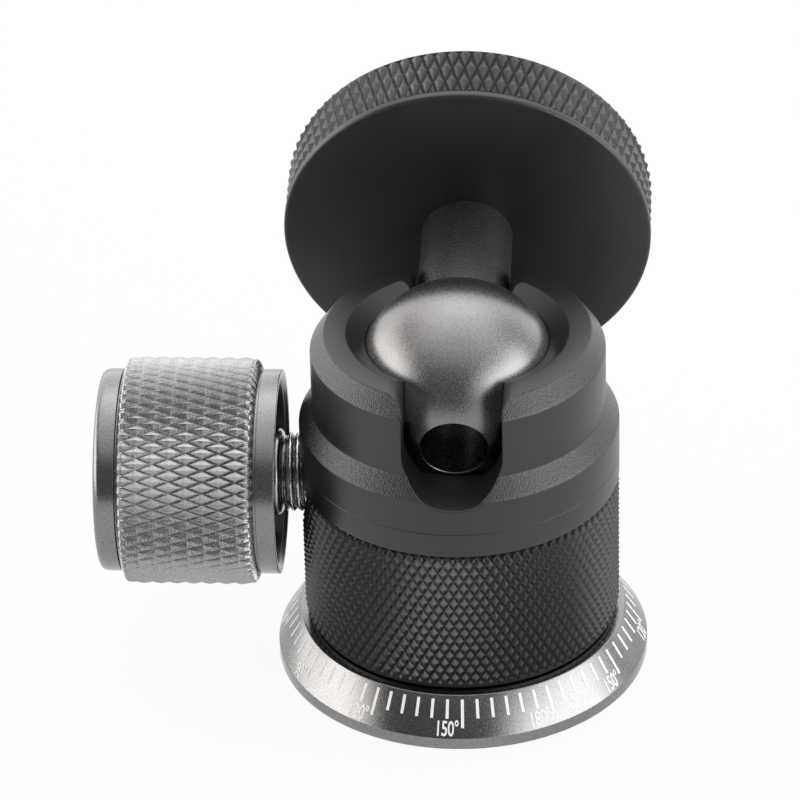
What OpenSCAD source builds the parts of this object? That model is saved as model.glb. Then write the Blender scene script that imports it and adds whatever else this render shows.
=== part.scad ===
// Tripod ball head: friction pan base, one clamp knob, and a ball that carries a round platform.
// Millimetres. +Z runs up the body axis from the centre of the base ring's bottom face.
// The front is -Y, the clamp knob points along -X, and the platform leans back towards +Y.

/* [Base] */
// Base ring outer diameter
base_d = 38; // [34:0.5:44]
// Height of the base ring's vertical rim
base_rim_h = 1.3; // [0.8:0.1:2.5]
// Height of the base ring's top face
base_h = 5; // [4:0.1:7]
// Diameter of the base ring's top face
base_top_d = 33.2; // [30:0.1:36]
// Diameter of the hub that the housing turns on
hub_d = 16.1; // [15:0.1:17]
// Height of the hub's top face
hub_top_z = 9.4; // [9:0.1:10]
// Large tripod thread, major diameter
large_thread_d = 9.525; // [9.525]
// Small tripod and camera thread, major diameter
small_thread_d = 6.35; // [6.35]
// Outer diameter of the thread insert
insert_d = 12.6; // [11:0.1:13]
// Height of the thread insert's top face
insert_top_z = 7; // [6:0.1:7]
// Depth of the thread insert and bush inside the base face
insert_inset = 0; // [0:0.1:1]
// Height of the reducer bush's top face
bush_top_z = 6.6; // [5:0.1:7]
// Width of the coin slot in the reducer bush
bush_slot_w = 1.2; // [0.8:0.1:1.6]
// Depth of the coin slot in the reducer bush
bush_slot_depth = 1.1; // [0.6:0.1:1.5]

/* [Pan bearing] */
// Gap between the hub and the glide washer
glide_hub_gap = 0.95; // [0.5:0.05:2]
// Gap round the glide washer, in line with the edge of the bearing plate
glide_edge_gap = 0.4; // [0.2:0.1:1]
// Thickness of the glide washer
glide_t = 0.9; // [0.5:0.05:1]
// Depth of the glide washer's groove in the base ring
glide_groove_depth = 0.5; // [0.3:0.05:0.8]
// Diameter of the bearing plate that closes the housing
plate_d = 26; // [24:0.1:28]
// Height of the bearing plate's bottom face
plate_bottom_z = 5.45; // [5.2:0.05:6]
// Thickness of the bearing plate
plate_t = 3.15; // [2:0.05:3.5]
// Width of the friction washer and of the retainer's edge over the hub
retainer_edge_w = 1.55; // [1:0.05:2.5]
// Thickness of the friction washer
friction_washer_t = 0.7; // [0.4:0.05:0.7]
// Thickness of the retainer
retainer_t = 1.2; // [1:0.1:1.6]
// Number of retainer screws
retainer_screw_count = 3; // [3:1:4]
// Radius of the retainer screw circle
retainer_screw_pcr = 5.2; // [4.5:0.1:6]
// Retainer screw thread diameter
retainer_screw_d = 2.5; // [2:0.5:3]
// Retainer screw head diameter
retainer_head_d = 4.4; // [4:0.1:5]
// Length of a retainer screw with its head
retainer_screw_len = 3.2; // [2.5:0.1:3.4]

/* [Housing] */
// Height of the housing's bottom edge
body_bottom_z = 5.17; // [5.05:0.01:5.5]
// Diameter of the housing's bottom edge
body_bottom_d = 31.5; // [30:0.1:32.5]
// Height where the knurled zone starts
knurl_bottom_z = 5.9; // [5.5:0.1:7]
// Diameter over the knurled zone
knurl_d = 32.3; // [30:0.1:34]
// Height where the knurled zone ends
knurl_top_z = 20.9; // [18:0.1:22]
// Depth of the groove over the knurled zone
groove_depth = 0.35; // [0.2:0.05:0.6]
// Height of the groove over the knurled zone
groove_h = 0.25; // [0.1:0.05:0.5]
// Chamfer on the lower edge of the wide band
band_chamfer = 0.3; // [0.1:0.05:0.5]
// Diameter of the wide smooth band
wide_band_d = 32.3; // [30:0.1:34]
// Height of the wide band's upper edge
wide_band_top_z = 27.67; // [26:0.05:29]
// Diameter of the narrow smooth band
narrow_band_d = 29.6; // [28:0.1:31]
// Height of the narrow band's lower edge
narrow_band_bottom_z = 29.54; // [28:0.05:31]
// Height of the narrow band's upper edge
narrow_band_top_z = 35.96; // [34:0.05:37]
// Height of the housing's top face
body_top_z = 37.85; // [36:0.05:40]
// Outer diameter of the top face
top_face_d = 26.86; // [25:0.1:28]
// Inner diameter of the top face
mouth_d = 22.3; // [21:0.1:24]
// Height of the ball seat's upper lip
lip_z = 36.65; // [36:0.05:37.2]
// Bore of the housing
body_bore_d = 22.2; // [21.6:0.1:23]
// Width of the two drop notches
notch_w = 9.9; // [9.6:0.1:11]
// Height of the centre of a notch's round bottom
notch_centre_z = 31.7; // [31:0.1:32.5]
// Rounding of a notch's upper corners
notch_corner_r = 1.5; // [0.5:0.1:2.5]
// Diameter of the flat spot face round the clamp screw
spot_face_d = 9.8; // [9:0.1:12]
// Distance from the body axis to the spot face
spot_face_x = 15.75; // [15.3:0.05:16]

/* [Clamp] */
// Height of the clamp screw's axis
clamp_z = 20.72; // [20:0.1:22]
// Clamp screw thread diameter
clamp_screw_d = 8; // [6:0.5:8]
// Distance from the body axis to the clamp screw's inner end
clamp_screw_x = 11.35; // [11:0.05:12]
// Diameter of the clamp screw's shoulder
shoulder_d = 8.8; // [8.4:0.1:10]
// Distance from the body axis to the shoulder's inner face
shoulder_x = 18; // [17.5:0.05:19]
// Diameter of the pusher
pusher_d = 6; // [5:0.1:7]
// Distance from the body axis to the pusher's inner tip
pusher_tip_x = 6.2; // [5.8:0.1:7]
// Diameter of the pusher's flat tip
pusher_tip_d = 2; // [1:0.1:3]
// Diameter of the pusher's spigot
spigot_d = 3; // [2:0.1:4]
// Length of the pusher's spigot
spigot_len = 2.7; // [2:0.1:4]
// Room beside and above the pusher in the cup
pusher_room = 0.25; // [0.1:0.05:0.4]
// Travel of the pusher and of the cup in one turn of the knob
clamp_travel = 0.75; // [0.5:0.05:1]
// Height of the cup's bottom face
cup_bottom_z = 15.5; // [15:0.1:16]
// Height of the cup's top face
cup_top_z = 26.2; // [25:0.1:26.4]
// Height of the spring plate's bottom face
spring_plate_z = 11.2; // [11:0.1:12]
// Thickness of the spring plate
spring_plate_t = 1.8; // [1:0.1:2]
// Inner diameter of the spring plate and the disc springs
spring_in_d = 13; // [11:0.1:15]
// Outer diameter of the disc springs
spring_out_d = 20.8; // [19:0.1:21.5]
// Sheet thickness of a disc spring
spring_t = 0.5; // [0.3:0.05:0.8]

/* [Knob] */
// Diameter over the knob's knurled zone
knob_knurl_d = 23.1; // [20:0.1:26]
// Diameter of the knob's inner collar
inner_collar_d = 20.8; // [19:0.1:22]
// Diameter of the knob's outer collar
outer_collar_d = 20.6; // [19:0.1:22]
// Distance from the body axis to the knob's inner end
knob_inner_x = 18.12; // [17.5:0.05:20]
// Distance from the body axis to the start of the knob's knurl
knob_knurl_in_x = 20.27; // [19:0.05:22]
// Distance from the body axis to the end of the knob's knurl
knob_knurl_out_x = 34; // [30:0.1:38]
// Distance from the body axis to the knob's outer end
knob_outer_x = 36.38; // [32:0.05:40]
// Rounding of the knurled zone's ends
knob_knurl_r = 0.9; // [0.3:0.1:1.2]
// Rounding of the knob's outer edge
knob_edge_r = 0.9; // [0.3:0.1:1.5]
// Depth of the undercut beside the knurl
undercut_depth = 0.3; // [0.1:0.05:0.5]
// Width of the undercut beside the knurl
undercut_w = 0.25; // [0.1:0.05:0.5]
// Chamfer inside the inner collar's rim
rim_chamfer = 0.35; // [0.2:0.05:0.6]
// Diameter of the knob core
core_d = 19; // [17:0.1:19.4]
// Diameter of the recess in the knob core
recess_d = 18; // [16:0.1:18.4]
// Depth of the recess below the knob's inner end
recess_depth = 2.5; // [1.5:0.1:4]
// Diameter of the end cap
end_cap_d = 16.4; // [14:0.1:17]
// Thickness of the end cap
end_cap_t = 1.7; // [1:0.1:2]
// Distance of the end cap below the knob's outer end
end_cap_inset = 0.2; // [0.1:0.05:0.5]
// Depth of the dish in the end cap
end_cap_dish = 0.6; // [0.2:0.1:1]
// Diameter of the clamp screw's shank in the knob core
shank_d = 7; // [5:0.1:8]
// Length of the clamp screw's shank in the knob core
shank_len = 8.9; // [6:0.1:10]
// Thread diameter of the knob's fixing screw
fixing_d = 3; // [2.5:0.5:4]
// Head diameter of the knob's fixing screw
fixing_head_d = 5.5; // [5:0.1:7]
// Head height of the knob's fixing screw
fixing_head_h = 3; // [2.5:0.1:4]
// Reach of the fixing screw below its head
fixing_len = 7; // [5:0.1:8]
// Depth of the fixing screw's seat below the core's outer face
fixing_seat_depth = 3.5; // [3:0.1:5]

/* [Ball and platform] */
// Lean of the platform from upright, in degrees, as it is stored
tilt_deg = 78.5; // [75:0.5:90]
// Diameter of the ball
ball_d = 20.7; // [20:0.1:22]
// Height of the ball's centre
ball_z = 31.9; // [31:0.05:33]
// Diameter of the bore in the ball
ball_bore_d = 6.8; // [6:0.1:7.5]
// Depth of the ball bore's floor past the ball's centre
ball_bore_floor = 2; // [1:0.1:3]
// Chamfer at the mouth of the ball's bore
ball_bore_chamfer = 0.25; // [0.1:0.05:0.5]
// Ball bolt thread diameter
ball_bolt_d = 4; // [3:0.5:5]
// Ball bolt head diameter
ball_bolt_head_d = 6.4; // [5.5:0.1:6.6]
// Ball bolt head height
ball_bolt_head_h = 4; // [3:0.1:4.5]
// Ball bolt length below its head
ball_bolt_len = 15; // [12:0.5:16]
// Thickness of the lock washer
lock_washer_t = 0.6; // [0.4:0.1:1]
// Diameter of the stem
stem_d = 9.4; // [8.5:0.1:9.4]
// Diameter of the stem's spigot in the ball
stem_spigot_d = 6.4; // [5:0.1:7]
// Length of the stem's spigot in the ball
stem_spigot_len = 3; // [2:0.1:4]
// Diameter of the stem's spigot in the platform
platform_spigot_d = 7.2; // [6:0.1:8]
// Length of the stem's spigot in the platform
platform_spigot_len = 2.5; // [2:0.1:3]
// Distance from the ball's centre to the platform's underside
platform_under_t = 21.65; // [20:0.05:24]
// Distance from the ball's centre to the platform's top face
platform_top_t = 29; // [28:0.1:32]
// Diameter over the platform's knurled rim
platform_d = 37.9; // [35:0.1:44]
// Rounding of the platform's lower edge
platform_edge_r = 0.7; // [0.3:0.1:1.5]
// Chamfer on the platform's upper edge
platform_chamfer = 0.25; // [0.1:0.05:0.5]
// Diameter of the platform pad
pad_d = 34.8; // [30:0.1:36]
// Thickness of the platform pad
pad_t = 1.1; // [0.8:0.1:2]
// Height of the pad above the platform's top face
pad_proud = 0.3; // [0.1:0.1:0.6]
// Inner diameter of the platform pad
pad_in_d = 8.8; // [7:0.1:12]
// Diameter of the camera stud's plain neck
stud_neck_d = 5.2; // [4.8:0.1:6]
// Height of the camera stud's neck above the pad
stud_neck_h = 0.3; // [0.2:0.1:1]
// Length of the camera stud above the pad
stud_len = 5.2; // [4.5:0.1:6]
// Depth of the camera stud in the platform
stud_depth = 4.1; // [3:0.1:4.5]

/* [Fits] */
// Radial clearance of running and threaded fits
run_clear = 0.06; // [0.03:0.01:0.1]
// Clearance round the ball
ball_clear = 0.05; // [0.02:0.01:0.1]
// Play between faces that turn on each other
face_clear = 0.05; // [0.02:0.01:0.1]

/* [Hidden] */
$fn = 96;
eps = 0.01;
ball_r = ball_d / 2;
seat_r = ball_r + ball_clear;
glide_out_d = plate_d - 2 * glide_edge_gap;
glide_in_d = hub_d + 2 * glide_hub_gap;
retainer_d = hub_d + 2 * retainer_edge_w;
lip_r = sqrt(pow(seat_r, 2) - pow(lip_z - ball_z, 2));
plate_top_z = plate_bottom_z + plate_t;
glide_z = base_h - glide_groove_depth;
retainer_top_z = hub_top_z + retainer_t;
screw_cone_h = (retainer_head_d - retainer_screw_d) / 2;
pusher_back_x = clamp_screw_x - face_clear;
cone_len = (pusher_d - pusher_tip_d) / 2;
cone_start_x = pusher_tip_x + cone_len;
recess_floor_x = knob_inner_x + recess_depth;
core_inner_x = knob_inner_x + rim_chamfer;
core_outer_x = knob_outer_x - end_cap_t - end_cap_inset;
fixing_seat_x = core_outer_x - fixing_seat_depth;
ball_flat_t = sqrt(pow(ball_r, 2) - pow(stem_d / 2, 2));
washer_top_t = ball_bore_floor - lock_washer_t;
stem_bore_t = washer_top_t + ball_bolt_len + 1;
pad_top_t = platform_top_t + pad_proud;
spring_h = (cup_bottom_z - spring_plate_z - spring_plate_t) / 2;
black_alu = [0.13, 0.13, 0.14];
gunmetal = [0.42, 0.43, 0.45];
black_steel = [0.1, 0.1, 0.1];
bright_steel = [0.7, 0.7, 0.72];
brass = [0.78, 0.62, 0.3];
polymer = [0.2, 0.2, 0.21];
rubber = [0.08, 0.08, 0.08];

// Turns a shape drawn along +Z to run along -X on the clamp axis, its z being the distance from the body axis.
module on_clamp_axis() {
  translate([0, 0, clamp_z]) rotate([0, -90, 0]) children();
}

// Leans a shape drawn upright round the ball's centre into the stored pose.
module on_ball_axis() {
  translate([0, 0, ball_z]) rotate([-tilt_deg, 0, 0]) children();
}

// A cylinder from one height to another.
module rod(d, z1, z2) {
  translate([0, 0, z1]) cylinder(h = z2 - z1, d = d);
}

// A ring from one height to another.
module ring(d_out, d_in, z1, z2) {
  difference() {
    rod(d_out, z1, z2);
    rod(d_in, z1 - 1, z2 + 1);
  }
}

// A hexagonal key socket that opens downwards at height z.
module key_socket(width, depth, z) {
  translate([0, 0, z - 1]) cylinder(h = depth + 1, d = width / cos(30), $fn = 6);
}

// Places children at each retainer screw.
module at_retainer_screws() {
  for (i = [0 : retainer_screw_count - 1])
    rotate([0, 0, 90 + i * 360 / retainer_screw_count]) translate([retainer_screw_pcr, 0, 0]) children();
}

module base_ring() {
  color(gunmetal) difference() {
    rotate_extrude() polygon([[0, 0], [base_d / 2, 0], [base_d / 2, base_rim_h], [base_top_d / 2, base_h],
      [hub_d / 2, base_h], [hub_d / 2, hub_top_z], [0, hub_top_z]]);
    rod(insert_d, -1, insert_top_z);
    ring(glide_out_d + 2 * run_clear, glide_in_d - 2 * run_clear, glide_z, base_h + 1);
    at_retainer_screws() rod(retainer_screw_d, retainer_top_z - retainer_screw_len, hub_top_z + 1);
  }
}

module thread_insert() {
  color(brass) ring(insert_d, large_thread_d, insert_inset, insert_top_z);
}

module reducer_bush() {
  color(bright_steel) difference() {
    ring(large_thread_d, small_thread_d, insert_inset, bush_top_z);
    translate([-large_thread_d, -bush_slot_w / 2, insert_inset - 1])
      cube([2 * large_thread_d, bush_slot_w, bush_slot_depth + 1]);
  }
}

module glide_washer() {
  color(polymer) ring(glide_out_d, glide_in_d, glide_z, glide_z + glide_t);
}

module friction_washer() {
  color(polymer) ring(retainer_d, hub_d, hub_top_z - friction_washer_t, hub_top_z);
}

module pan_retainer() {
  color(bright_steel) difference() {
    rod(retainer_d, hub_top_z, retainer_top_z);
    at_retainer_screws() {
      rod(retainer_screw_d, hub_top_z - 1, retainer_top_z + 1);
      translate([0, 0, retainer_top_z - screw_cone_h])
        cylinder(h = screw_cone_h + eps, d1 = retainer_screw_d, d2 = retainer_head_d + 2 * eps);
    }
  }
}

module retainer_screws() {
  color(black_steel) at_retainer_screws() difference() {
    union() {
      rod(retainer_screw_d, retainer_top_z - retainer_screw_len, retainer_top_z - screw_cone_h);
      translate([0, 0, retainer_top_z - screw_cone_h])
        cylinder(h = screw_cone_h, d1 = retainer_screw_d, d2 = retainer_head_d);
    }
    translate([0, 0, retainer_top_z - 0.8]) cylinder(h = 2, d = 1.5 / cos(30), $fn = 6);
  }
}

// Profile of one drop notch across its width, open at the top.
module notch_profile() {
  translate([0, notch_centre_z]) circle(d = notch_w);
  translate([-notch_w / 2, notch_centre_z]) square([notch_w, body_top_z]);
  for (s = [-1, 1]) difference() {
    translate([s * (notch_w / 2 + notch_corner_r / 2), body_top_z + 1 - notch_corner_r / 2])
      square([notch_corner_r, notch_corner_r + 2], center = true);
    translate([s * (notch_w / 2 + notch_corner_r), body_top_z - notch_corner_r])
      circle(r = notch_corner_r);
  }
}

module housing() {
  groove_r = knurl_d / 2 - groove_depth;
  color(black_alu) difference() {
    rotate_extrude() polygon([[0, body_bottom_z], [body_bottom_d / 2, body_bottom_z],
      [knurl_d / 2, knurl_bottom_z], [knurl_d / 2, knurl_top_z], [groove_r, knurl_top_z],
      [groove_r, knurl_top_z + groove_h], [wide_band_d / 2 - band_chamfer, knurl_top_z + groove_h],
      [wide_band_d / 2, knurl_top_z + groove_h + band_chamfer], [wide_band_d / 2, wide_band_top_z],
      [narrow_band_d / 2, narrow_band_bottom_z], [narrow_band_d / 2, narrow_band_top_z],
      [top_face_d / 2, body_top_z], [mouth_d / 2, body_top_z], [lip_r, lip_z], [0, lip_z]]);
    rod(plate_d, body_bottom_z - 1, plate_top_z);
    rod(body_bore_d, plate_top_z - 1, ball_z + 0.7);
    translate([0, 0, ball_z]) sphere(r = seat_r);
    translate([0, base_d, 0]) rotate([90, 0, 0]) linear_extrude(2 * base_d) notch_profile();
    on_clamp_axis() rod(clamp_screw_d + 2 * run_clear, body_bore_d / 2 - 2, base_d / 2);
    on_clamp_axis() rod(spot_face_d, spot_face_x, base_d / 2);
  }
}

module bearing_plate() {
  color(black_alu) ring(plate_d, hub_d + 2 * run_clear, plate_bottom_z, plate_top_z);
}

module spring_plate() {
  color(bright_steel) ring(body_bore_d, spring_in_d, spring_plate_z, spring_plate_z + spring_plate_t);
}

// Two disc springs, stacked edge to edge.
module disc_springs() {
  z0 = spring_plate_z + spring_plate_t;
  color(bright_steel) rotate_extrude() for (m = [0, 1])
    translate([0, z0 + m * 2 * spring_h]) scale([1, 1 - 2 * m])
      polygon([[spring_in_d / 2, 0], [spring_out_d / 2, spring_h - spring_t],
        [spring_out_d / 2, spring_h], [spring_in_d / 2, spring_t]]);
}

// The cup's slot is open below; its 45 degree roof rests on the pusher's cone and leaves room for the travel.
module ball_cup() {
  slot_w = pusher_d + 2 * pusher_room;
  end_x = pusher_tip_x - 2 * face_clear;
  rise = clamp_travel + pusher_room;
  roof_len = cone_len + rise;
  color(polymer) difference() {
    rod(body_bore_d - 2 * run_clear, cup_bottom_z, cup_top_z);
    translate([0, 0, ball_z]) sphere(r = seat_r);
    translate([0, slot_w / 2, clamp_z]) rotate([90, 0, 0]) linear_extrude(slot_w)
      polygon([[-end_x, cup_bottom_z - clamp_z - 1], [-end_x, pusher_tip_d / 2],
        [-end_x - roof_len, pusher_tip_d / 2 + roof_len], [-base_d / 2, pusher_tip_d / 2 + roof_len],
        [-base_d / 2, cup_bottom_z - clamp_z - 1]]);
  }
}

module clamp_pusher() {
  color(brass) on_clamp_axis() {
    rod(pusher_d, cone_start_x, pusher_back_x);
    translate([0, 0, pusher_tip_x]) cylinder(h = cone_len, d1 = pusher_tip_d, d2 = pusher_d);
    rod(spigot_d, pusher_back_x - eps, pusher_back_x + spigot_len);
  }
}

module clamp_screw() {
  color(black_steel) on_clamp_axis() difference() {
    union() {
      rod(clamp_screw_d, clamp_screw_x, shoulder_x);
      rod(shoulder_d, shoulder_x, recess_floor_x);
      rod(shank_d, recess_floor_x - eps, recess_floor_x + shank_len);
    }
    rod(spigot_d + 2 * run_clear, clamp_screw_x - 1, clamp_screw_x + spigot_len + 0.3);
    rod(fixing_d, fixing_seat_x - fixing_len, base_d);
  }
}

module knob_core() {
  color(black_alu) on_clamp_axis() difference() {
    rod(core_d, core_inner_x, core_outer_x);
    rod(recess_d, core_inner_x - 1, recess_floor_x);
    rod(shank_d, recess_floor_x - 1, recess_floor_x + shank_len);
    rod(fixing_d, recess_floor_x, core_outer_x);
    rod(fixing_head_d + 2 * run_clear, fixing_seat_x, core_outer_x + 1);
  }
}

module knob_sleeve() {
  uc_r = inner_collar_d / 2 - undercut_depth;
  color(gunmetal) on_clamp_axis() rotate_extrude() difference() {
    union() {
      translate([0, knob_inner_x]) square([inner_collar_d / 2, knob_knurl_in_x - undercut_w - knob_inner_x]);
      translate([0, knob_inner_x]) square([uc_r, knob_knurl_in_x - knob_inner_x + eps]);
      translate([0, knob_knurl_in_x]) rounded_rect(knob_knurl_d / 2, knob_knurl_out_x - knob_knurl_in_x,
        knob_knurl_r);
      translate([0, knob_knurl_out_x - 1]) rounded_rect(outer_collar_d / 2,
        knob_outer_x - knob_knurl_out_x + 1, knob_edge_r);
    }
    translate([0, knob_inner_x - 1]) square([core_d / 2, core_outer_x - knob_inner_x + 1]);
    translate([0, knob_inner_x]) square([end_cap_d / 2, knob_outer_x]);
    polygon([[0, knob_inner_x - eps], [core_d / 2 + rim_chamfer, knob_inner_x - eps],
      [core_d / 2, knob_inner_x + rim_chamfer], [0, knob_inner_x + rim_chamfer]]);
  }
}

// A rectangle from the axis out to r, with both outer corners rounded.
module rounded_rect(r, h, corner) {
  square([r - corner, h]);
  translate([0, corner]) square([r, h - 2 * corner]);
  for (y = [corner, h - corner]) translate([r - corner, y]) circle(r = corner, $fn = 48);
}

module knob_end_cap() {
  cap_top = core_outer_x + end_cap_t;
  color(black_alu) on_clamp_axis() difference() {
    rod(end_cap_d, core_outer_x, cap_top);
    translate([0, 0, cap_top - end_cap_dish])
      cylinder(h = end_cap_dish + eps, d1 = end_cap_d - 4 * end_cap_dish, d2 = end_cap_d - 2 * end_cap_dish);
  }
}

module knob_fixing_screw() {
  head_top = fixing_seat_x + fixing_head_h;
  color(black_steel) on_clamp_axis() difference() {
    union() {
      rod(fixing_d, fixing_seat_x - fixing_len, fixing_seat_x + eps);
      rod(fixing_head_d, fixing_seat_x, head_top);
    }
    translate([0, 0, head_top - 1.5]) cylinder(h = 3, d = 2.5 / cos(30), $fn = 6);
  }
}

module ball() {
  mouth_t = sqrt(pow(ball_r, 2) - pow(ball_bore_d / 2, 2));
  chamfer_h = ball_bore_chamfer + 0.3;
  color(gunmetal) on_ball_axis() difference() {
    sphere(r = ball_r);
    rod(ball_d, ball_flat_t, ball_d);
    rod(ball_bore_d, -ball_d, ball_bore_floor);
    translate([0, 0, -mouth_t - 0.1]) cylinder(h = chamfer_h, d1 = ball_bore_d + 2 * chamfer_h, d2 = ball_bore_d);
    rod(ball_bolt_d, 0, ball_flat_t);
    rod(stem_spigot_d, ball_flat_t - stem_spigot_len, ball_d);
  }
}

module ball_bolt() {
  head_t = washer_top_t - ball_bolt_head_h;
  color(black_steel) on_ball_axis() difference() {
    union() {
      rod(ball_bolt_head_d, head_t, washer_top_t);
      rod(ball_bolt_d, washer_top_t - eps, washer_top_t + ball_bolt_len);
    }
    key_socket(3, 2, head_t);
  }
}

module lock_washer() {
  color(bright_steel) on_ball_axis() ring(ball_bolt_head_d, ball_bolt_d, washer_top_t, ball_bore_floor);
}

module stem() {
  color(black_alu) on_ball_axis() difference() {
    union() {
      rod(stem_spigot_d, ball_flat_t - stem_spigot_len, ball_flat_t + eps);
      rod(stem_d, ball_flat_t, platform_under_t);
      rod(platform_spigot_d, platform_under_t - eps, platform_under_t + platform_spigot_len);
    }
    rod(ball_bolt_d, 0, stem_bore_t);
  }
}

module platform_disc() {
  r = platform_d / 2;
  c = platform_chamfer;
  edge_top = platform_under_t + platform_edge_r;
  color(black_alu) on_ball_axis() difference() {
    rotate_extrude() union() {
      translate([0, platform_under_t]) square([r - platform_edge_r, platform_edge_r + c]);
      translate([r - platform_edge_r, edge_top]) circle(r = platform_edge_r, $fn = 64);
      polygon([[0, edge_top], [r, edge_top], [r, platform_top_t - c], [r - c, platform_top_t],
        [0, platform_top_t]]);
    }
    rod(platform_spigot_d, platform_under_t - 1, platform_under_t + platform_spigot_len);
    rod(pad_d, pad_top_t - pad_t, pad_top_t + 1);
    rod(stud_neck_d, platform_top_t - stud_depth, pad_top_t);
  }
}

module platform_pad() {
  color(rubber) on_ball_axis() ring(pad_d, pad_in_d, pad_top_t - pad_t, pad_top_t);
}

module camera_stud() {
  tip = 0.6;
  color(bright_steel) on_ball_axis() {
    rod(stud_neck_d, platform_top_t - stud_depth, pad_top_t + stud_neck_h + eps);
    rod(small_thread_d, pad_top_t + stud_neck_h, pad_top_t + stud_len - tip);
    translate([0, 0, pad_top_t + stud_len - tip])
      cylinder(h = tip, d1 = small_thread_d, d2 = small_thread_d - 2 * tip);
  }
}

base_ring();
thread_insert();
reducer_bush();
glide_washer();
friction_washer();
pan_retainer();
retainer_screws();
housing();
bearing_plate();
spring_plate();
disc_springs();
ball_cup();
clamp_pusher();
clamp_screw();
knob_core();
knob_sleeve();
knob_end_cap();
knob_fixing_screw();
ball();
ball_bolt();
lock_washer();
stem();
platform_disc();
platform_pad();
camera_stud();
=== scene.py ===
"""Dresses the tripod ball head: turned and knurled pieces, threads, scale, finishes, light and camera."""
import logging
import math
from dataclasses import dataclass
from enum import Enum
from functools import cache
from typing import Any, Callable, Sequence

import bmesh
import bpy
from mathutils import Matrix, Vector


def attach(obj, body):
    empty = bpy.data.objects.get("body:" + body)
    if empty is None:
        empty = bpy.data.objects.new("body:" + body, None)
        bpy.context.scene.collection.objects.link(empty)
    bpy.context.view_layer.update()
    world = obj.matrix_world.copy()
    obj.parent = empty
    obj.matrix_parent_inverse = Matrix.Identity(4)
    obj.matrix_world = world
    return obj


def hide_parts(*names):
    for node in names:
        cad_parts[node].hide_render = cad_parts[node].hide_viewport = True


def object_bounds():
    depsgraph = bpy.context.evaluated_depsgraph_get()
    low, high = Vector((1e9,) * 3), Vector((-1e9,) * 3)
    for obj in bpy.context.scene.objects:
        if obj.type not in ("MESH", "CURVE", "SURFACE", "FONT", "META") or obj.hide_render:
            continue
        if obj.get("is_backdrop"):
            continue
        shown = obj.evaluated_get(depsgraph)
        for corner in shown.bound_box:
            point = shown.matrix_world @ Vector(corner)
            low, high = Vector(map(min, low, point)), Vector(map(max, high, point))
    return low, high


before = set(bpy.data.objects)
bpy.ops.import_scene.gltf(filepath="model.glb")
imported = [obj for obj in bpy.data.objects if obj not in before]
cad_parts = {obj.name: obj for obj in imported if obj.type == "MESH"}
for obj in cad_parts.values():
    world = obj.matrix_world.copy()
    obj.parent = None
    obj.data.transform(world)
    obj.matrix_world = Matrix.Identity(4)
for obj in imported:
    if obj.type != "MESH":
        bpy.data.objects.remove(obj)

log = logging.getLogger("ball_head")
# The head's shapes are given in millimetres, as in the part's CAD; finishes and the studio use metres.
MM = 0.001
TILT = math.radians(78.5)
SHARP = math.radians(32)
BALL_Z = 31.9
CLAMP_Z = 20.72
# Radii of the stem, its socket and the bolt's bore, and heights along the ball's axis from its centre.
STEM_R = 4.7
STEM_SEAT = 9.221
STEM_SOCKET = 6.221
SOCKET_R = 3.2
BOLT_R = 2.0
# The finishes' cloudy drift and dust. Scales and patches are in waves a metre; size and limit have no unit.
CLOUD_SCALE = 110.0
DUST_SCALE = 420.0
DUST_SIZE = 0.045
DUST_PATCHES = 190.0
DUST_LIMIT = 0.63
DUST_COLOUR = (0.35, 0.35, 0.35, 1.0)


class Axis(Enum):
    """The three axes that the head's round pieces are turned on."""

    BODY = "body"
    CLAMP = "clamp"
    BALL = "ball"

    def matrix(self) -> Matrix:
        """Returns the transform from a profile drawn along +Z to its place, in millimetres."""
        if self is Axis.CLAMP:
            return Matrix.Translation((0, 0, CLAMP_Z)) @ Matrix.Rotation(-math.pi / 2, 4, "Y")
        if self is Axis.BALL:
            return Matrix.Translation((0, 0, BALL_Z)) @ Matrix.Rotation(-TILT, 4, "X")
        return Matrix.Identity(4)


class Relief(Enum):
    """The two patterns that are cut or rolled into a turned zone."""

    DIAMOND = "diamond knurl"
    THREAD = "screw thread"


def operator(operation: str, swapped: bool = False) -> Callable[["Wire", Any], "Wire"]:
    """Makes the method behind one of Python's operators.

    Args:
        operation: The Math node's operation.
        swapped: Whether the other value comes first, as in a reflected operator.

    Returns:
        The method.
    """
    def method(self: "Wire", other: Any) -> "Wire":
        """Adds the Math node."""
        pair = (other, self) if swapped else (self, other)
        return self.tree.math(operation, *pair)
    return method


@dataclass
class Wire:
    """An output socket of a tree, which builds Math nodes from Python's operators."""

    tree: "Tree"
    socket: Any

    __add__, __radd__ = operator("ADD"), operator("ADD", swapped=True)
    __sub__, __rsub__ = operator("SUBTRACT"), operator("SUBTRACT", swapped=True)
    __mul__, __truediv__ = operator("MULTIPLY"), operator("DIVIDE")
    __gt__, __lt__ = operator("GREATER_THAN"), operator("LESS_THAN")

    def apply(self, operation: str, *values: Any) -> "Wire":
        """Returns a Math operation on this wire and more values."""
        return self.tree.math(operation, self, *values)

    def band(self, low: float, high: float) -> "Wire":
        """Returns this wire mapped smoothly from low..high to 0..1."""
        return self.tree.node("ShaderNodeMapRange", {"interpolation_type": "SMOOTHSTEP"},
                              {0: self, 1: low, 2: high, 3: 0.0, 4: 1.0})


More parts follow.
